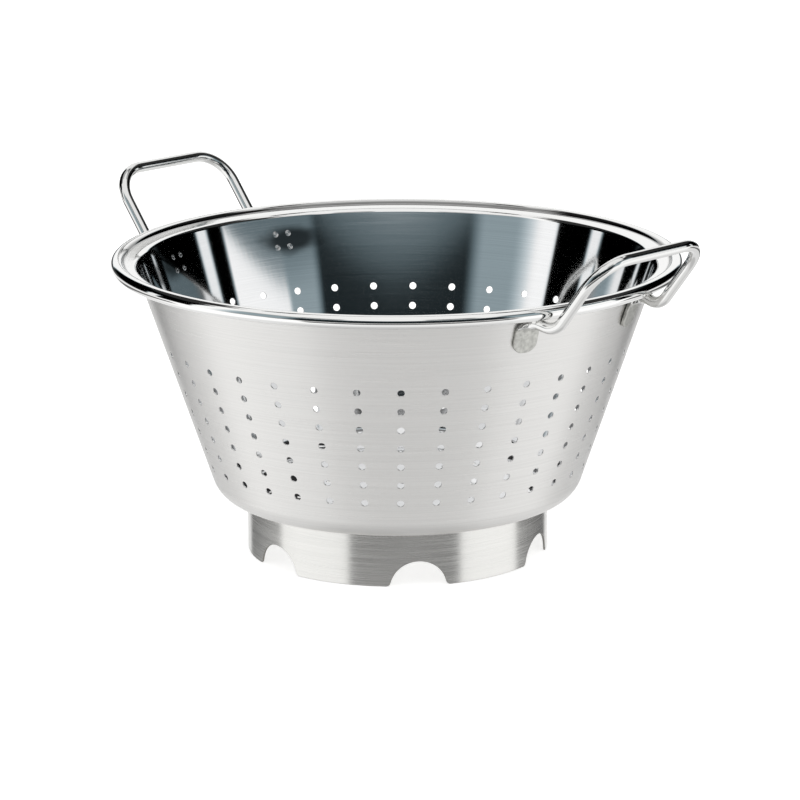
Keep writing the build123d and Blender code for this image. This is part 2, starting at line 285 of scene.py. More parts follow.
# Floor cells: rings of holes round a middle one, for one face of the sheet, with stitched bands between.
# A point of the sheet's face is drawn from the cell's border to the hole, as on the wall.
def floorPatches(floorHeight, lastRadius, lastAngles, side, slot):
    x, y, theta = cellBorder()
    share, inward, deep, tilt = (v[:, None] for v in holeRings())
    hole = bowl["holeDiameter"] / 2 + bowl["holeEdge"] - inward
    faceHeight = floorHeight if side < 0 else floorHeight + bowl["sheet"]
    z = faceHeight + (deep if side < 0 else -deep)
    made, outer = [], (bowl["floorBand"], theta)
    for ring in range(bowl["floorRings"] + 1):
        count = max(1, 6 * ring)
        at = 2 * math.pi * np.arange(count)[:, None, None] / count
        middle = ring * bowl["floorPitch"]
        if ring:
            far = middle + y * bowl["floorBand"]
            turn = at + x * math.pi / count
        else:
            far, turn = bowl["floorBand"], theta
        away = np.stack([far * np.cos(turn) + 0 * at, far * np.sin(turn) + 0 * at], -1)
        # a ring's cells count along the turn and outwards, so their holes are walked the other way round
        way = at + math.pi / 2 - theta if ring else theta + 0 * at
        centre = np.stack([middle * np.cos(at), middle * np.sin(at)], -1)
        holeRound = centre + hole[..., None] * np.stack([np.cos(way), np.sin(way)], -1)
        xy = (1 - share[..., None]) * away + share[..., None] * holeRound
        heights = np.broadcast_to(z[None, :, :, None], xy.shape[:-1] + (1,))
        inwards = centre - xy
        inwards /= np.maximum(np.linalg.norm(inwards, axis=-1, keepdims=True), 1e-9)
        upright = np.broadcast_to(side * np.cos(tilt)[None, :, :, None], xy.shape[:-1] + (1,))
        points = np.concatenate([xy, heights], -1)
        normals = np.concatenate([inwards * np.sin(tilt)[..., None], upright], -1)
        made.append(patch(points, normals, cellFaces(count, len(share), len(theta)), slot))
        steps = 2 * math.pi * np.arange(count * bowl["alongCount"]) / (count * bowl["alongCount"])
        if ring:
            angles = steps - math.pi / count
            made.append(stitch(*outer, middle - bowl["floorBand"], angles, faceHeight, side, slot))
            outer = (middle + bowl["floorBand"], angles)
    made.append(stitch(*outer, lastRadius, lastAngles, faceHeight, side, slot))
    return made


def makeBowl(materials):
    floorHeight, sheet, slope = bowlLow.z, bowl["sheet"], bowl["slope"]
    wallTurn = 90.0 - math.degrees(slope)
    rim = rimSteps(1)
    wallTop = rimLine(1)[0, :2]
    corner = (0, bowl["cornerRadius"] - sheet / 2, wallTurn, bowl["cornerSteps"])
    cornerRise = walk((0, floorHeight + sheet / 2), 0.0, [corner])[-1]
    wallLength = (wallTop[1] - cornerRise[1]) / math.cos(slope)
    cornerStart = wallTop[0] - wallLength * math.sin(slope) - cornerRise[0]

    # the top row's place on the outer face, and the lengths of plain wall under and over the cells
    outerTop = wallTop + np.array([math.cos(slope), -math.sin(slope)]) * sheet / 2
    topRowHeight = bowlHigh.z - bowl["topRowDrop"]
    topRow = outerTop - np.array([math.tan(slope), 1.0]) * (outerTop[1] - topRowHeight)
    over = (outerTop[1] - topRowHeight) / math.cos(slope) - bowl["rowPitch"] / 2
    under = wallLength - over - bowl["rowPitch"] * bowl["rows"]

    circle = bowl["columns"] * bowl["alongCount"]
    angles = bowl["columnAngle"] - math.pi / bowl["columns"] + 2 * math.pi * np.arange(circle) / circle
    flatFrom = bowl["floorRings"] * bowl["floorPitch"] + bowl["flatShare"] * bowl["floorBand"]
    lowerSteps = [(cornerStart - flatFrom, 0, 0, 1), corner, (under, 0, 0, bowl["underSteps"])]
    lower = walk((flatFrom, floorHeight + sheet / 2), 0.0, lowerSteps)
    upperStart = wallTop - np.array([math.sin(slope), math.cos(slope)]) * over
    upper = walk(upperStart, math.radians(wallTurn), [(over, 0, 0, bowl["overSteps"])] + rim)
    wall = bowl["overSteps"] + 1
    patches = []
    for side, slot in ((-1, outsideSlot), (1, insideSlot)):
        patches.append(revolve(*sheetSide(lower, side), angles, slot))
        patches.append(revolve(*sheetSide(upper[:wall], side), angles, slot))
        patches.append(revolve(*sheetSide(upper[wall - 1:], side), angles, rimSlot))
        patches.append(wallCells(topRow, side, slot))
        patches += floorPatches(floorHeight, flatFrom, angles, side, slot)
    # the rolled edge's lip, half round
    r, z, h = upper[-1]
    turn = np.linspace(math.pi / 2, -math.pi / 2, bowl["lipSteps"]) + h
    lipR, lipZ = np.cos(turn), np.sin(turn)
    patches.append(revolve(r + lipR * sheet / 2, z + lipZ * sheet / 2, lipR, lipZ, angles, rimSlot))
    return makePiece("colanderBowl", patches, materials, ["bowl"])


foot = {
    "sheet": 1.2 * mm,
    "bendRadius": 2.4 * mm,
    "flangeWidth": 10.0 * mm,
    "notches": 6,
    "notchRadius": 18.0 * mm,
    "notchHeight": 16.0 * mm,
    "notchCorner": 3.0 * mm,
    "notchAngle": math.radians(21.9),
    "edge": 0.25 * mm,  # broken edge of the cut sheet
    "archSteps": 25,
    "cornerSteps": 6,
    "landSteps": 9,
    "bendSteps": 7,
    "bandShares": [0.0, 0.3, 1.0],  # heights of the band's rows of points, from its lower edge to the bend
}


# The ring's lower edge over one notch and one land, as distance round, height, and the way into the metal
def footOutline(radius):
    r, c = foot["notchRadius"], foot["notchCorner"]
    sink = r - foot["notchHeight"]
    cornerX = math.sqrt((r + c) ** 2 - (c + sink) ** 2)
    tangent = math.atan2(c + sink, cornerX)  # where the arch meets its corner, seen from the arch's centre
    arch = np.linspace(tangent, math.pi - tangent, foot["archSteps"])
    archX, archZ = r * np.cos(arch), r * np.sin(arch) - sink
    lean = np.linspace(-math.pi / 2, -math.pi + tangent, foot["cornerSteps"])[:-1]
    cos, sin = np.cos(lean), np.sin(lean)
    cornerPart = np.stack([cornerX + c * cos, c + c * sin, -cos, -sin], -1)
    archPart = np.stack([archX, archZ, np.cos(arch), np.sin(arch)], -1)
    mirrored = cornerPart[::-1] * np.array([-1, 1, -1, 1])
    notch = np.concatenate([cornerPart, archPart, mirrored])[::-1]
    angle = np.arcsin(notch[:, 0] / radius)
    period = 2 * math.pi / foot["notches"]
    land = np.linspace(angle[-1], angle[0] + period, foot["landSteps"])[1:-1]
    landPart = np.stack([0 * land, 0 * land, 0 * land, 0 * land + 1], -1)
    full = np.concatenate([notch, landPart])
    angle = np.concatenate([angle, land])
    return angle, full[:, 1], full[:, 2], full[:, 3]


def makeFoot(materials):
    radius, top, sheet, edge = footHigh.x, footHigh.z, foot["sheet"], foot["edge"]
    angle, low, nx, nz = footOutline(radius)
    turns = foot["notchAngle"] + 2 * math.pi / foot["notches"] * np.arange(foot["notches"])
    angle = (turns[:, None] + angle[None, :]).ravel()
    low, nx, nz = (np.tile(v, foot["notches"]) for v in (low, nx, nz))
    bend = foot["bendRadius"]
    bendZ = top - bend

    # rows of points: radius, height, angle for each column, with the normal as (out, up, round)
    def rows(r, z, a, out, up, around, slot=0):
        shape = (len(r), len(angle))
        r, z, a, out, up, around = (np.broadcast_to(v, shape) for v in (r, z, a, out, up, around))
        cos, sin = np.cos(a), np.sin(a)
        points = np.stack([r * cos, r * sin, z], -1)
        normals = np.stack([out * cos - around * sin, out * sin + around * cos, up], -1)
        return patch(points, normals, gridFaces(len(r), len(angle)), slot)

    def column(values):
        return np.array(values, float)[:, None]

    made = []
    for face, side in ((radius, 1), (radius - sheet, -1)):
        start = low + nz * edge
        lift = column(foot["bandShares"])
        shifted = angle + nx * edge / radius
        z = start * (1 - lift) + bendZ * lift
        made.append(rows(column([face] * len(lift)), z, shifted * (1 - lift) + angle * lift, side, 0, 0))
    # the broken edges and the cut face of the lower edge
    tilt = np.radians(column([0.0, 45.0, 90.0]))
    inwards = edge * (1 - np.sin(tilt))
    for face, side in ((radius, 1), (radius - sheet, -1)):
        deep = face - side * edge * (1 - np.cos(tilt))
        a, z = angle + nx * inwards / radius, low + nz * inwards
        made.append(rows(deep, z, a, side * np.cos(tilt), -nz * np.sin(tilt), -nx * np.sin(tilt), 1))
    flat = column([radius - edge, radius - sheet + edge])
    made.append(rows(flat, low, angle, 0, -nz, -nx, 1))
    # the bend and the flange turned in under the floor
    turn = np.radians(column(np.linspace(0, 90, foot["bendSteps"])))
    centre = radius - bend
    inner = radius - foot["flangeWidth"]
    for reach, side in ((bend, 1), (bend - sheet, -1)):
        out, up = np.cos(turn), np.sin(turn)
        made.append(rows(centre + reach * out, bendZ + reach * up, angle, side * out, side * up, 0))
        made.append(rows(column([centre, inner]), bendZ + reach, angle, 0, side, 0))
    made.append(rows(column([inner, inner]), column([top, top - sheet]), angle, -1, 0, 0))
    return makePiece("footRing", made, materials, ["foot_ring"])


handle = {
    "wire": 7.2 * mm,
    "legSpacing": 95.0 * mm,
    "tabSpacing": 93.0 * mm,
    "reach": 32.4 * mm,
    "rise": 30.8 * mm,
    "gripRadius": 22.0 * mm,
    "dipDrop": 14.5 * mm,
    "dipInset": 3.2 * mm,
    "dipRadius": 12.0 * mm,
    "elbowDrop": 10.4 * mm,
    "elbowRadius": 6.5 * mm,
    "tabWidth": 16.0 * mm,
    "tabThickness": 2.2 * mm,
    "tabCorner": 6.5 * mm,
    "tabEndDrop": 31.0 * mm,
    "seatGap": 0.05 * mm,
    "pressShare": 0.5,  # of the elbow's turn, over which the wire is pressed flat
    "tabSquareness": 9.0,  # power of the tab's rounded section; 2 is round
    "around": 32,
    "routeStep": 1.6 * mm,
    "arcSteps": 14,
    "endSteps": 9,
    "endMargin": 1.02,  # how many corner radii from the tab's end the route's own places take over
    "pressLead": 0.12,  # of the elbow's turn, by which the pressing starts before the elbow
    "tabUntil": 0.2,  # pressed share of round wire up to which the tab's duller finish goes
}


# The wall's outer face at a height: radius
def wallRadius(height):
    half, slope = bowl["sheet"] / 2, bowl["slope"]
    top = rimLine(11)[0, :2] + np.array([math.cos(slope), -math.sin(slope)]) * half
    return top[0] - (top[1] - height) * math.tan(slope)


# A route through corners, rounded by arcs: places, and how far along each lies
def roundedRoute(corners, radii, straightStep, arcSteps):
    places, marks = [corners[0]], []
    for before, corner, after, radius in zip(corners[:-2], corners[1:-1], corners[2:], radii):
        back, on = (v / np.linalg.norm(v) for v in (before - corner, after - corner))
        half = math.acos(np.clip(back @ on, -1, 1)) / 2
        start, end = corner + back * radius / math.tan(half), corner + on * radius / math.tan(half)
        centre = corner + (back + on) / np.linalg.norm(back + on) * radius / math.sin(half)
        places += straightPart(places[-1], start, straightStep)
        marks.append(len(places) - 1)
        turn = math.pi - 2 * half
        k = (np.arange(1, arcSteps + 1) / arcSteps)[:, None]
        first, last = start - centre, end - centre
        places += list(centre + (first * np.sin((1 - k) * turn) + last * np.sin(k * turn)) / math.sin(turn))
        marks.append(len(places) - 1)
    places += straightPart(places[-1], corners[-1], straightStep)
    return np.array(places), marks


def straightPart(start, end, step):
    count = max(1, round(np.linalg.norm(end - start) / step))
    return list(start + (end - start) * (np.arange(1, count + 1) / count)[:, None])


# Frames along a route that turn as little as they can, from a first sideways direction
def carriedFrames(places, first):
    ahead = np.gradient(places, axis=0)
    ahead /= np.linalg.norm(ahead, axis=1, keepdims=True)
    across = [first - ahead[0] * (first @ ahead[0])]
    for direction in ahead[1:]:
        kept = across[-1] - direction * (across[-1] @ direction)
        across.append(kept / np.linalg.norm(kept))
    across = np.array(across)
    return across, np.cross(across, ahead)


def smoothStep(x):
    x = np.clip(x, 0, 1)
    return x * x * (3 - 2 * x)


def tabFrame():
    height = bowlHigh.z - handle["tabEndDrop"]
    radius = wallRadius(height)
    azimuth = math.asin(handle["tabSpacing"] / 2 / radius)
    cos, sin, slope = math.cos(azimuth), math.sin(azimuth), bowl["slope"]
    origin = np.array([radius * cos, radius * sin, height])
    up = np.array([math.sin(slope) * cos, math.sin(slope) * sin, math.cos(slope)])
    out = np.array([math.cos(slope) * cos, math.cos(slope) * sin, -math.sin(slope)])
    return origin, up, out, np.array([-sin, cos, 0.0])


# Half a handle, from the tab's end to the middle of the grip: a section carried along the wire's route.
# A section is a rounded rectangle, width and thickness each times a power of cosine and sine, which goes
# from the flat tab to the round wire; the tab's end is drawn in by its corner radius.
def halfHandle():
    origin, up, out, across = tabFrame()
    wire = handle["wire"] / 2
    seat = origin + out * (handle["seatGap"] + wire)
    elbow = seat + up * ((bowlHigh.z - handle["elbowDrop"] - seat[2]) / up[2])
    halfLeg = handle["legSpacing"] / 2
    dip = np.array([bowlHigh.x - handle["dipInset"], halfLeg, bowlHigh.z - handle["dipDrop"]])
    grip = np.array([bowlHigh.x + handle["reach"], halfLeg, bowlHigh.z + handle["rise"]])
    middle = grip * np.array([1, 0, 1])
    corners = [seat, elbow, dip, grip, middle]
    radii = [handle["elbowRadius"], handle["dipRadius"], handle["gripRadius"]]
    places, marks = roundedRoute(corners, radii, handle["routeStep"], handle["arcSteps"])
    # more places near the tab's end, where its corners curve
    share = 1 - np.cos(np.linspace(0, math.pi / 2, handle["endSteps"]))
    tabEnd = seat + up * (handle["tabCorner"] * share)[:, None]
    beyond = (places - seat) @ up > handle["tabCorner"] * handle["endMargin"]
    beyond[marks[0]:] = True
    skipped = int(np.argmax(beyond))
    places = np.concatenate([tabEnd, places[skipped:]])
    elbowAt = marks[0] - skipped + len(tabEnd)
    along = np.concatenate([[0.0], np.cumsum(np.linalg.norm(np.diff(places, axis=0), axis=1))])
    sideways, outward = carriedFrames(places, across)
    if outward[0] @ out < 0:
        sideways, outward = -sideways, -outward
    elbowLength = along[elbowAt + handle["arcSteps"]] - along[elbowAt]
    lead = handle["pressLead"]
    pressed = (along - along[elbowAt] + lead * elbowLength) / (elbowLength * (handle["pressShare"] + lead))
    pressed = smoothStep(pressed)
    drawnIn = np.clip(handle["tabCorner"] - along, 0, None)
    corner = handle["tabCorner"] - np.sqrt(handle["tabCorner"] ** 2 - drawnIn ** 2)
    width = handle["tabWidth"] / 2 * (1 - pressed) + wire * pressed - corner
    thick = handle["tabThickness"] / 2 * (1 - pressed) + wire * pressed
    power = (2 / (handle["tabSquareness"] * (1 - pressed) ** 2 + 2 * (1 - (1 - pressed) ** 2)))[:, None]
    theta = 2 * math.pi * np.arange(handle["around"]) / handle["around"]
    cos, sin = np.cos(theta)[None, :], np.sin(theta)[None, :]
    x = width[:, None] * np.sign(cos) * np.abs(cos) ** power
    y = thick[:, None] * np.sign(sin) * np.abs(sin) ** power
    centre = places + outward * (thick - wire)[:, None]
    points = centre[:, None] + sideways[:, None] * x[..., None] + outward[:, None] * y[..., None]
    roundWay = np.roll(points, -1, 1) - np.roll(points, 1, 1)
    normals = np.cross(roundWay, np.gradient(points, axis=0))
    normals *= np.sign((normals * (points - centre[:, None])).sum(-1).mean())
    normals /= np.linalg.norm(normals, axis=-1, keepdims=True)
    return points, normals, centre[0], -up, int(np.argmax(pressed > handle["tabUntil"]))


def makeHandle(name, node, turn):
    points, normals, endCentre, endNormal, tabRows = halfHandle()
    rows, columns = points.shape[:2]
    fan = np.stack([np.arange(columns), (np.arange(columns) + 1) % columns, np.full(columns, columns)], -1)
    end = np.concatenate([points[0], endCentre[None]])
    patches = []
    for mirror in ((1, 1, 1), (1, -1, 1)):
        flip = np.array(mirror) * np.array(turn)
        wire, tab = slice(tabRows - 1, rows), slice(0, tabRows)
        for part, slot in ((wire, 0), (tab, 1)):
            faces = gridFaces(part.stop - part.start, columns)
            patches.append(patch(points[part] * flip, normals[part] * flip, faces, slot))
        patches.append(patch(end * flip, endNormal * flip, fan, 1))
    return makePiece(name, patches, [polishedSteel, tabSteel], [node])


# Spot welds seen from inside: a low ring with a dimple. Height over the sheet is q times e to the (1 - q),
# where q is the square of the distance from the middle, in ring radii.
weld = {
    "ring": 1.15 * mm,
    "reach": 2.0 * mm,
    "rise": 0.2 * mm,
    "sunk": 0.4 * mm,
    "pitch": 9.0 * mm,
    "margin": 5.8 * mm,  # from the tab's end to its lower welds
    "around": 20,
    "ringSteps": 8,
    "footCount": 12,
    "footFirst": math.radians(15.0),
    "footInset": 1.2 * mm,  # from the outermost weld's edge to its middle
}


def weldPatches(centre, normal, across):
    upward = np.cross(normal, across)
    around = weld["around"]
    radius = np.linspace(0, weld["reach"], weld["ringSteps"] + 1)[1:]
    q = (radius / weld["ring"]) ** 2
    height = weld["rise"] * q * np.exp(1 - q)
    slope = 2 * weld["rise"] * radius / weld["ring"] ** 2 * (1 - q) * np.exp(1 - q)
    theta = 2 * math.pi * np.arange(around) / around
    away = across * np.cos(theta)[:, None] + upward * np.sin(theta)[:, None]
    top = centre + away[None] * radius[:, None, None] + normal * height[:, None, None]
    lean = normal - away[None] * slope[:, None, None]
    lean /= np.linalg.norm(lean, axis=-1, keepdims=True)
    low = centre + away * weld["reach"] - normal * weld["sunk"]
    wall = np.stack([top[-1], low])
    ring = np.stack([np.arange(around), (np.arange(around) + 1) % around, np.full(around, around)], -1)
    bottom = np.concatenate([low, [centre - normal * weld["sunk"]]])
    middle = np.concatenate([top[0], [centre]])
    return [
        patch(top, lean, gridFaces(len(radius), around)),
        patch(middle, normal, ring),
        patch(wall, np.stack([away, away]), gridFaces(2, around)),
        patch(bottom, -normal, ring),
    ]


def makeTabWelds(name, node, turn):
    origin, up, out, across = tabFrame()
    patches = []
    for x in (-weld["pitch"] / 2, weld["pitch"] / 2):
        for y in (weld["margin"], weld["margin"] + weld["pitch"]):
            azimuth = math.atan2(origin[1], origin[0]) + x / math.hypot(origin[0], origin[1])
            radius = wallRadius(origin[2] + y * up[2])
            cos, sin, slope = math.cos(azimuth), math.sin(azimuth), bowl["slope"]
            point = np.array([radius * cos, radius * sin, origin[2] + y * up[2]])
            outward = np.array([math.cos(slope) * cos, math.cos(slope) * sin, -math.sin(slope)])
            inner = (point - outward * bowl["sheet"]) * turn
            patches += weldPatches(inner, -outward * turn, np.array([-sin, cos, 0.0]) * turn)
    return makePiece(name, patches, [weldSteel], [node])


def makeFootWelds():
    radius = (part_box("foot_welds")[1].x / math.cos(weld["footFirst"])) - weld["footInset"]
    patches = []
    for k in range(weld["footCount"]):
        angle = weld["footFirst"] + 2 * math.pi * k / weld["footCount"]
        centre = np.array([radius * math.cos(angle), radius * math.sin(angle), bowlLow.z + bowl["sheet"]])
        patches += weldPatches(centre, np.array([0, 0, 1.0]), np.array([1.0, 0, 0]))
    return makePiece("footWelds", patches, [weldSteel], ["foot_welds"])


# The finishes. Rough is the shader's roughness and anisotropy how far it is drawn out round the bowl. Streak
# is how deep the brushing is, grain how much it darkens the colour, and mottle how much rounder blotches do.
# A finish with heat is darkened round the tabs' welds by that much, and one that has painted shade in its
# crease is darkened along the crease by that much.
steels = {
    "satinSteel": {
        "colour": (0.86, 0.852, 0.835), "rough": 0.34, "anisotropy": 0.7, "streak": 0.25, "grain": 0.10,
    },
    "brightSteel": {
        "colour": (0.90, 0.905, 0.91), "rough": 0.055, "anisotropy": 0.6, "streak": 0.02, "grain": 0.10,
        "heat": 0.85,
    },
    "rimSteel": {
        "colour": (0.90, 0.90, 0.89), "rough": 0.07, "anisotropy": 0.3, "streak": 0.04, "grain": 0.0,
        # painted shade in the rim's crease: how much it darkens the colour
        "crease": 0.76,
    },
    "footSteel": {
        "colour": (0.82, 0.815, 0.79), "rough": 0.24, "anisotropy": 0.7, "streak": 0.16, "grain": 0.08,
    },
    "polishedSteel": {
        "colour": (0.81, 0.81, 0.80), "rough": 0.09, "anisotropy": 0.0, "streak": 0.02, "grain": 0.0,
    },
    "cutSteel": {
        "colour": (0.30, 0.29, 0.27), "rough": 0.4, "anisotropy": 0.0, "streak": 0.1, "grain": 0.1,
    },
    "tabSteel": {
        "colour": (0.74, 0.74, 0.70), "rough": 0.36, "anisotropy": 0.0, "streak": 0.3, "grain": 0.1,
        "mottle": 0.35,
    },
    "weldSteel": {
        "colour": (0.66, 0.66, 0.66), "rough": 0.22, "anisotropy": 0.0, "streak": 0.02, "grain": 0.0,
        "mottle": 0.2,
    },
}
# Each noise is given as its scale round the bowl, its scale across the brushing, and its detail
brushing = {
    "fine": (14, 2600, 3),
    "broad": (6, 700, 2),
    "broadShare": 1.6,
    "depth": 0.03 * mm,
    "roughSpread": 0.2,
    "blotches": (420, 420, 4),
    "noiseSpan": (0.3, 0.7),  # between which the noise mostly stays
}
heat = {
    "wide": 30 * mm,
    "tall": 12 * mm,
    "side": 6 * mm,  # from the tab's middle, away from the other tab
    "core": 0.35,  # share of the mark that is darkest
    "ragged": (50, 90, 2),
    "raggedShare": 0.15,
}
# Painted shade along the rim's crease: where its fading starts and ends, and how far its middle sits above
# the crease's end
crease = {"from": 0.2 * mm, "to": 2.4 * mm, "lift": 0.4 * mm}


def maths(tree, operation, first, second=0.0):
    node = tree.nodes.new("ShaderNodeMath")
    node.operation = operation
    for socket, value in zip(node.inputs, (first, second)):
        if isinstance(value, float):
            socket.default_value = value
        else:
            tree.links.new(value, socket)
    return node.outputs[0]


def vectorMaths(tree, operation, source):
    node = tree.nodes.new("ShaderNodeVectorMath")
    node.operation = operation
    tree.links.new(source, node.inputs[0])
    return node


def noise(tree, source, slow, fast, detail):
    mapping = tree.nodes.new("ShaderNodeMapping")
    mapping.inputs["Scale"].default_value = (slow, slow, fast)
    tree.links.new(source, mapping.inputs[0])
    texture = tree.nodes.new("ShaderNodeTexNoise")
    texture.inputs["Scale"].default_value = 1.0
    texture.inputs["Detail"].default_value = detail
    tree.links.new(mapping.outputs[0], texture.inputs["Vector"])
    return texture.outputs[0]


# A value carried from one span to another, in a straight line or by a smooth step
def ramp(tree, value, start, end, low, high, kind="LINEAR"):
    node = tree.nodes.new("ShaderNodeMapRange")
    node.interpolation_type = kind
    node.inputs["From Min"].default_value, node.inputs["From Max"].default_value = start, end
    node.inputs["To Min"].default_value, node.inputs["To Max"].default_value = low, high
    tree.links.new(value, node.inputs["Value"])
    return node.outputs[0]


def spread(tree, value, low, high):
    return ramp(tree, value, *brushing["noiseSpan"], low, high)


# The square root of the sum of two squares
def farAway(tree, first, second):
    squares = [maths(tree, "MULTIPLY", part, part) for part in (first, second)]
    return maths(tree, "SQRT", maths(tree, "ADD", *squares))


# Where the welding's heat darkened the sheet beside each tab: 1 less a smooth hump of the distance from the
# mark's middle, across and up the wall. The four tabs mirror each other, so x and y lose their signs.
def heatMark(tree, place, depth):
    origin, up, out, across = tabFrame()
    middle = origin + up * (weld["margin"] + weld["pitch"] / 2) + across * heat["side"]
    folded = vectorMaths(tree, "ABSOLUTE", place).outputs[0]
    offsets = []
    for direction, reach in ((across, heat["wide"]), (up, heat["tall"])):
        along = vectorMaths(tree, "DOT_PRODUCT", folded)
        along.inputs[1].default_value = direction / reach
        offsets.append(maths(tree, "SUBTRACT", along.outputs["Value"], float(middle @ direction / reach)))
    ragged = noise(tree, place, *heat["ragged"])
    ragged = spread(tree, ragged, 1 - heat["raggedShare"], 1 + heat["raggedShare"])
    far = maths(tree, "MULTIPLY", farAway(tree, *offsets), ragged)
    return ramp(tree, far, heat["core"], 1.0, 1 - depth, 1.0, "SMOOTHSTEP")


# Painted shade in the crease between flange and bead: darker within a short distance of the crease's end,
# by a smooth step of that distance
def creaseMark(tree, radius, height, depth):
    creaseEnd = sum(step[-1] for step in rimSteps(1)[:3])
    r, z = rimLine(1)[creaseEnd, :2] + np.array([0, crease["lift"]])
    offsets = [maths(tree, "SUBTRACT", value, float(at)) for value, at in ((radius, r), (height, z))]
    return ramp(tree, farAway(tree, *offsets), crease["from"], crease["to"], 1 - depth, 1.0, "SMOOTHSTEP")


# One finish as a material. Its streaks run round the bowl, because their noise is read at (x, y) slowly and
# at radius plus height quickly.
def steel(name):
    look = steels[name]
    material = bpy.data.materials.new(name)
    material.use_nodes = True
    tree = material.node_tree
    nodes, links = tree.nodes, tree.links
    shader = nodes["Principled BSDF"]
    shader.inputs["Base Color"].default_value = (*look["colour"], 1)
    shader.inputs["Metallic"].default_value = 1.0
    shader.inputs["Roughness"].default_value = look["rough"]
    shader.inputs["Anisotropic"].default_value = look["anisotropy"]
    shader.inputs["Anisotropic Rotation"].default_value = 0.25
    tangent = nodes.new("ShaderNodeTangent")
    tangent.direction_type = "RADIAL"
    tangent.axis = "Z"
    links.new(tangent.outputs[0], shader.inputs["Tangent"])

    place = nodes.new("ShaderNodeTexCoord").outputs["Object"]
    split = nodes.new("ShaderNodeSeparateXYZ")
    links.new(place, split.inputs[0])
    flat, stretched = nodes.new("ShaderNodeCombineXYZ"), nodes.new("ShaderNodeCombineXYZ")
    for k in (0, 1):
        links.new(split.outputs[k], flat.inputs[k])
        links.new(split.outputs[k], stretched.inputs[k])
    radius = vectorMaths(tree, "LENGTH", flat.outputs[0]).outputs["Value"]
    height = split.outputs[2]
    links.new(maths(tree, "ADD", radius, height), stretched.inputs[2])

    fine, broad = (noise(tree, stretched.outputs[0], *brushing[kind]) for kind in ("fine", "broad"))
    bump = nodes.new("ShaderNodeBump")
    bump.inputs["Strength"].default_value = look["streak"]
    bump.inputs["Distance"].default_value = brushing["depth"]
    relief = maths(tree, "ADD", maths(tree, "MULTIPLY", broad, brushing["broadShare"]), fine)
    links.new(relief, bump.inputs["Height"])
    links.new(bump.outputs[0], shader.inputs["Normal"])
    least, most = (look["rough"] * (1 + sign * brushing["roughSpread"]) for sign in (-1, 1))
    links.new(spread(tree, fine, least, most), shader.inputs["Roughness"])

    shade = spread(tree, fine, 1 - look["grain"], 1.0)
    shade = maths(tree, "MULTIPLY", shade, spread(tree, broad, 1 - look["grain"] / 2, 1.0))
    # painted shade darkening the rim along its crease
    if "crease" in look:
        shade = maths(tree, "MULTIPLY", shade, creaseMark(tree, radius, height, look["crease"]))
    if "heat" in look:
        shade = maths(tree, "MULTIPLY", shade, heatMark(tree, place, look["heat"]))
    if "mottle" in look:
        blotches = noise(tree, place, *brushing["blotches"])
        shade = maths(tree, "MULTIPLY", shade, spread(tree, blotches, 1 - look["mottle"], 1.0))
    colour = nodes.new("ShaderNodeVectorMath")
    colour.operation = "SCALE"
    colour.inputs[0].default_value = look["colour"]
    links.new(shade, colour.inputs["Scale"])
    links.new(colour.outputs[0], shader.inputs["Base Color"])
    return material


satinSteel, brightSteel, rimSteel = steel("satinSteel"), steel("brightSteel"), steel("rimSteel")
footSteel, polishedSteel = steel("footSteel"), steel("polishedSteel")
tabSteel, weldSteel, cutSteel = steel("tabSteel"), steel("weldSteel"), steel("cutSteel")
print("materials made")

makeBowl([satinSteel, brightSteel, rimSteel])
makeFoot([footSteel, cutSteel])
makeHandle("handleRight", "handle_right", (1, 1, 1))
makeHandle("handleLeft", "handle_left", (-1, -1, 1))
makeTabWelds("tabWeldsRightRear", "tab_welds_right_rear", np.array([1, 1, 1]))
makeTabWelds("tabWeldsRightFront", "tab_welds_right_front", np.array([1, -1, 1]))
makeTabWelds("tabWeldsLeftRear", "tab_welds_left_rear", np.array([-1, -1, 1]))
makeTabWelds("tabWeldsLeftFront", "tab_welds_left_front", np.array([-1, 1, 1]))
makeFootWelds()

camera = {
    "azimuth": 44.0,
    "elevation": 14.28,
    "distance": 2.4,
    "target": (0.0013, 0.0013, 0.0948),
    "lens": 169.6,
    "sensor": 36.0,
    "roll": -0.18,
}

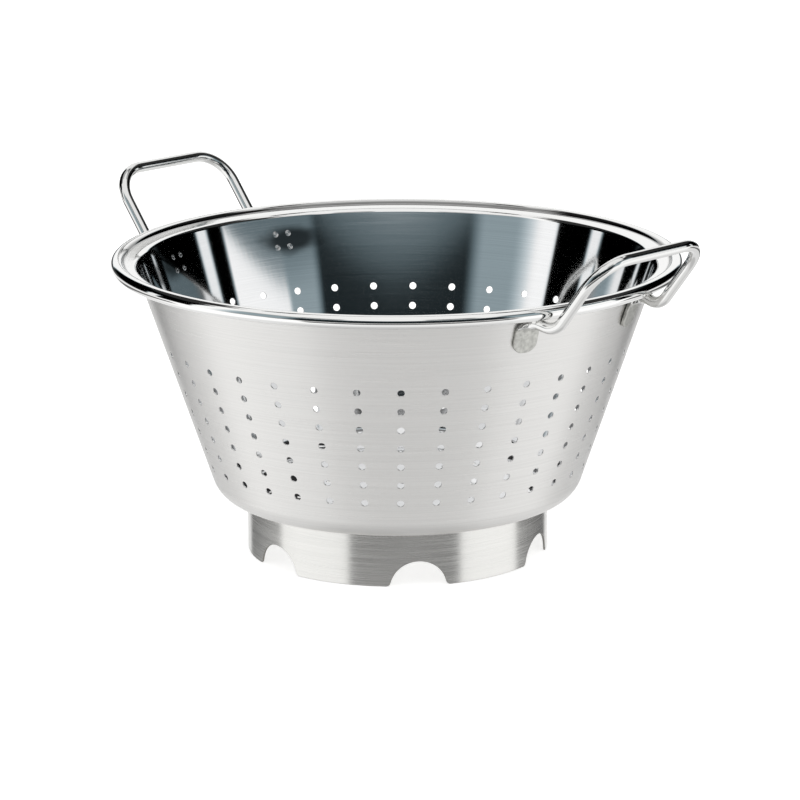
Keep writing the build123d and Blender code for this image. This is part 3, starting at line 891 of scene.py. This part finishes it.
studio = {
    "floorColour": (0.86, 0.86, 0.85),
    "floorSize": 12.0,
    "floorGlow": (0.62, 0.62, 0.62),
    "worldLight": 0.75,
    "reach": 2.0,
    "middle": 0.12,
    "base": 0.95,
    "turnStep": 1.0,
    # from, to and step of the grid's rises, finer where the cards' edges are crisp
    "riseSteps": [(-90.0, -6.0, 2.0), (-6.0, 72.0, 0.35), (72.0, 91.0, 2.0)],
    "tint": (0.70, 1.0, 1.13),  # of the darker cards between the two rises below
    "tintFrom": (0.0, 8.0),
    "tintUntil": (32.0, 36.0),
    # Each card: from and to in degrees right of the camera, from and to in degrees of rise, light, and how
    # soft its upright and its level edges are. An eighth number leans its upper edge, in degrees of rise for
    # each degree of turn. Later cards lie over earlier ones.
    "cards": [
        # under the bowl, for the wall's outside
        (-200, 200, -95, -8, 0.94, 1, 10),
        (-112, -26, -95, -8, 1.14, 44, 10),
        (44, 108, -95, -8, 1.05, 36, 10),
        (-152, -124, -95, -8, 0.84, 22, 4),
        (118, 150, -95, -8, 0.80, 22, 4),
        (-200, 200, -95, -43, 0.84, 1, 10),
        (-200, 200, -95, -66, 0.60, 1, 12),
        # a low band, for the foot
        (-37, 48, -26, -9, 0.15, 6, 5),
        (-98, -37, -30, -2, 1.16, 5, 6),
        (48, 101, -30, -2, 1.16, 6, 6),
        (-150, -98, -22, -12, 0.14, 5, 3),
        (101, 152, -22, -12, 0.10, 5, 3),
        # above the rim, for the wall's inside
        (-48, 46, -4, 30.5, 0.17, 3, 1.0),
        (-48, 46, -4, 28, 0.02, 6, 2.4),
        (-75, -41, -2, 40, 0.36, 10, 6),
        (-97, -70, -2, 46, 1.08, 18, 6),
        (-152, -84.2, -2, 40, 0.00, 1, 6),
        (-111.6, -104.8, -2, 17, 0.97, 2, 1),
        (43, 95, -2, 40, 0.17, 6, 6),
        (43, 95, -2, 26, 0.38, 6, 2.4, -0.16),
        (60, 95, -2, 22.7, 1.06, 3, 0.4, -0.111),
        (91.8, 152, -2, 50, 0.00, 1.5, 6),
        (101.8, 108.4, -2, 17.6, 0.95, 2, 1),
        # higher up, seen through the drain holes by way of the inside
        (-152, -95, 33, 56, 0.03, 3, 6),
        (72, 152, 33, 56, 0.03, 4, 6),
        (-42, -22, 33, 42.6, 0.22, 3, 2),
        (12, 34, 33, 45.6, 0.22, 3, 2),
        (-200, -150, 65.1, 70, 0.02, 3, 0.7),
        (-150, -108, 63.1, 70, 0.02, 3, 0.7),
        (108, 150, 62.4, 70, 0.02, 3, 0.7),
        (150, 200, 65.1, 70, 0.02, 3, 0.7),
        # behind the bowl, with a dark line level with the table's far edge
        (-200, -152, -16, 46, 1.00, 6, 6),
        (152, 200, -16, 46, 1.00, 6, 6),
        (-200, -140, -4, 5, 0.05, 6, 3),
        (140, 200, -4, 5, 0.05, 6, 3),
    ],
    "lampPlace": (0.5, -0.4, 2.2),
    "lampPower": 18,
    "lampSize": 1.6,
}


def makeCamera():
    data = bpy.data.cameras.new("camera")
    data.lens, data.sensor_width = camera["lens"], camera["sensor"]
    seen = bpy.data.objects.new("camera", data)
    bpy.context.scene.collection.objects.link(seen)
    a, e = math.radians(camera["azimuth"]), math.radians(camera["elevation"])
    back = Vector((math.sin(a) * math.cos(e), -math.cos(a) * math.cos(e), math.sin(e)))
    turn = (-back).to_track_quat("-Z", "Y").to_matrix().to_4x4()
    roll = Matrix.Rotation(math.radians(camera["roll"]), 4, "Z")
    seen.matrix_world = Matrix.Translation(Vector(camera["target"]) + back * camera["distance"]) @ turn @ roll
    data.clip_start, data.clip_end = 0.1, 50
    bpy.context.scene.camera = seen


# 1 for rays from the camera or off a mirror or through glass, and 0 for the rays that light things
def seenOrMirrored(tree):
    rays = tree.nodes.new("ShaderNodeLightPath")
    highest = rays.outputs["Is Camera Ray"]
    for kind in ("Is Glossy Ray", "Is Transmission Ray"):
        either = tree.nodes.new("ShaderNodeMath")
        either.operation = "MAXIMUM"
        tree.links.new(highest, either.inputs[0])
        tree.links.new(rays.outputs[kind], either.inputs[1])
        highest = either.outputs[0]
    return highest


def makeFloor():
    half = studio["floorSize"] / 2
    mesh = bpy.data.meshes.new("floor")
    corners = [(-half, -half, 0), (half, -half, 0), (half, half, 0), (-half, half, 0)]
    mesh.from_pydata(corners, [], [(0, 1, 2, 3)])
    floor = bpy.data.objects.new("floor", mesh)
    bpy.context.scene.collection.objects.link(floor)
    material = bpy.data.materials.new("paleFloor")
    material.use_nodes = True
    nodes, links = material.node_tree.nodes, material.node_tree.links
    shader = nodes["Principled BSDF"]
    shader.inputs["Base Color"].default_value = (*studio["floorColour"], 1)
    shader.inputs["Roughness"].default_value = 0.9
    shader.inputs["Specular IOR Level"].default_value = 0.1
    links.new(seenOrMirrored(material.node_tree), shader.inputs["Emission Strength"])
    shader.inputs["Emission Color"].default_value = (*studio["floorGlow"], 1)
    floor.data.materials.append(material)
    floor.visible_glossy = False


# A round room of cards that only the metal sees. Between two edges a card's cover is the product of four
# soft steps, and its light is mixed over the light before it by that cover.
def makeCards():
    turn = np.arange(-180.0, 180.5, studio["turnStep"])[None, :]
    rise = np.concatenate([np.arange(*span) for span in studio["riseSteps"]])[:, None]
    light = np.full((rise.size, turn.size), studio["base"])
    for left, right, low, high, value, softTurn, softRise, *lean in studio["cards"]:
        top = high + sum(lean) * (turn - left)
        wide = smoothStep((turn - left) / softTurn + 0.5) * smoothStep((right - turn) / softTurn + 0.5)
        tall = smoothStep((rise - low) / softRise + 0.5) * smoothStep((top - rise) / softRise + 0.5)
        light += (value - light) * wide * tall
    way, lift = np.radians(turn + camera["azimuth"]), np.radians(rise)
    cos, sin = np.cos(lift), np.sin(lift)
    points = np.stack([cos * np.sin(way), -cos * np.cos(way), sin + 0 * way], -1)
    points = studio["reach"] * points + np.array([0, 0, studio["middle"]])
    mesh = bpy.data.meshes.new("cards")
    mesh.from_pydata(points.reshape(-1, 3).tolist(), [], gridFaces(*light.shape, False).tolist())
    light = np.clip(light, 0, None).reshape(-1, 1)
    (start, full), (fading, gone) = studio["tintFrom"], studio["tintUntil"]
    tinted = smoothStep((rise - start) / (full - start)) * smoothStep((gone - rise) / (gone - fading))
    dark = np.clip(1 - light, 0, 1) * np.repeat(tinted, turn.size)[:, None]
    colour = light * (np.array(studio["tint"]) * dark + 1 - dark)
    colour = np.concatenate([colour, np.ones_like(light)], 1)
    layer = mesh.attributes.new("shade", "FLOAT_COLOR", "POINT")
    layer.data.foreach_set("color", colour.astype(np.float32).ravel())
    material = bpy.data.materials.new("cards")
    material.use_nodes = True
    nodes, links = material.node_tree.nodes, material.node_tree.links
    nodes.clear()
    read = nodes.new("ShaderNodeAttribute")
    read.attribute_name = "shade"
    glow = nodes.new("ShaderNodeEmission")
    links.new(read.outputs["Color"], glow.inputs["Color"])
    links.new(glow.outputs[0], nodes.new("ShaderNodeOutputMaterial").inputs[0])
    mesh.materials.append(material)
    card = bpy.data.objects.new("cards", mesh)
    bpy.context.scene.collection.objects.link(card)
    card.visible_camera = card.visible_diffuse = card.visible_shadow = False
    card.visible_transmission = card.visible_volume_scatter = False


def makeLight():
    world = bpy.data.worlds.new("studio")
    world.use_nodes = True
    nodes, links = world.node_tree.nodes, world.node_tree.links
    background = nodes["Background"]
    background.inputs["Color"].default_value = (1, 1, 1, 1)
    strength = nodes.new("ShaderNodeMapRange")
    strength.inputs["To Min"].default_value = studio["worldLight"]
    strength.inputs["To Max"].default_value = 1.0
    links.new(seenOrMirrored(world.node_tree), strength.inputs["Value"])
    links.new(strength.outputs[0], background.inputs["Strength"])
    bpy.context.scene.world = world
    lamp = bpy.data.lights.new("softbox", "AREA")
    lamp.energy, lamp.size = studio["lampPower"], studio["lampSize"]
    box = bpy.data.objects.new("softbox", lamp)
    bpy.context.scene.collection.objects.link(box)
    place = Vector(studio["lampPlace"])
    box.matrix_world = Matrix.Translation(place) @ place.to_track_quat("Z", "Y").to_matrix().to_4x4()
    box.visible_glossy = False
    print("studio lit")


makeCamera()
makeFloor()
makeCards()
makeLight()
bpy.context.scene.view_settings.view_transform = "Standard"
